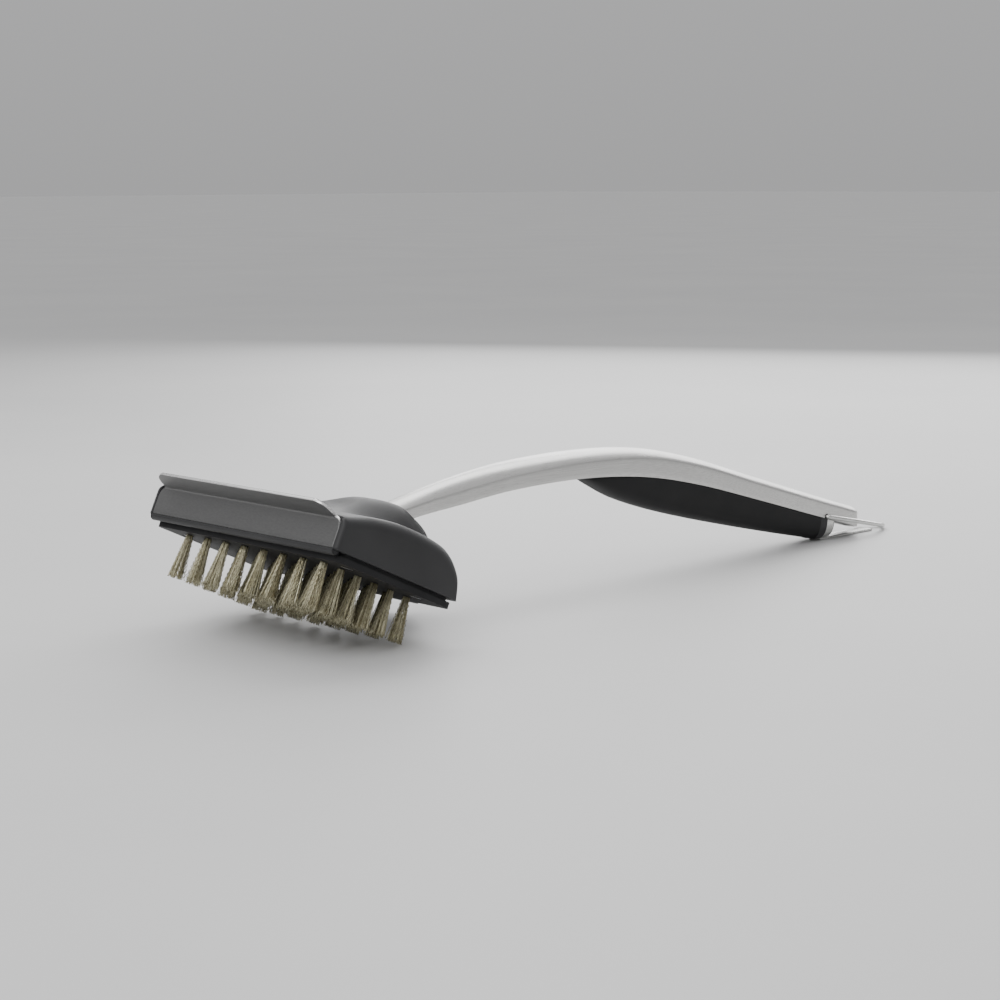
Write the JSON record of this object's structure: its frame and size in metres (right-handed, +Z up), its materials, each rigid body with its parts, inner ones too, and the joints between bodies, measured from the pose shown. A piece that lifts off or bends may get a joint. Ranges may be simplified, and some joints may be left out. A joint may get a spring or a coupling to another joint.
{
  "type": "grill cleaning brush",
  "caption": "Grill cleaning brush: T-shaped head with scraper edge and brass wire tufts, arched stainless handle with soft belly grip and a swinging wire hanging loop.",
  "frame": {"origin": "on the ground under the middle of the brush's length and width, with the brush standing as it rests on a table", "axes": "+X from the head to the tail along the handle, +Y across the head, +Z up"},
  "size_m": [0.4665, 0.139, 0.0709],
  "materials": {
    "shell_plastic": "fine spark-eroded matte texture, charcoal black",
    "block_plastic": "matte black moulding",
    "soft_rubber": "soft-touch black overmould, low sheen",
    "brass_wire": "crimped fine wire, pale brass",
    "scraper_steel": "satin stainless sheet with a bright ground edge",
    "handle_steel": "stainless, brushed along its length",
    "loop_steel": "drawn stainless wire, bright",
    "zinc_steel": "zinc-plated steel fasteners"
  },
  "bodies": {
    "brush": {"head_shell": "shell_plastic", "bristle_block": "block_plastic", "block_screws": "zinc_steel", "tuft_row_1": "brass_wire", "tuft_row_2": "brass_wire", "tuft_row_3": "brass_wire", "tuft_row_4": "brass_wire", "tuft_row_5": "brass_wire", "tuft_row_6": "brass_wire", "tuft_anchors": "zinc_steel", "scraper_blade": "scraper_steel", "scraper_studs": "zinc_steel", "stud_nuts": "zinc_steel", "neck_plug": "block_plastic", "neck_screws": "zinc_steel", "handle_shell": "handle_steel", "handle_underside": "handle_steel", "grip_core": "block_plastic", "core_screws": "zinc_steel", "soft_grip": "soft_rubber", "tail_cap": "block_plastic", "tail_foot": "handle_steel", "foot_rivet": "zinc_steel"},
    "loop": {"hanging_loop": "loop_steel"}
  },
  "joints": [
    {"name": "loop_swing", "type": "hinge", "parent": "brush", "child": "loop", "pos_m": [0.16975, 0, 0.0142], "axis": [0, -1, 0], "range_deg": [-150, 150]}
  ]
}
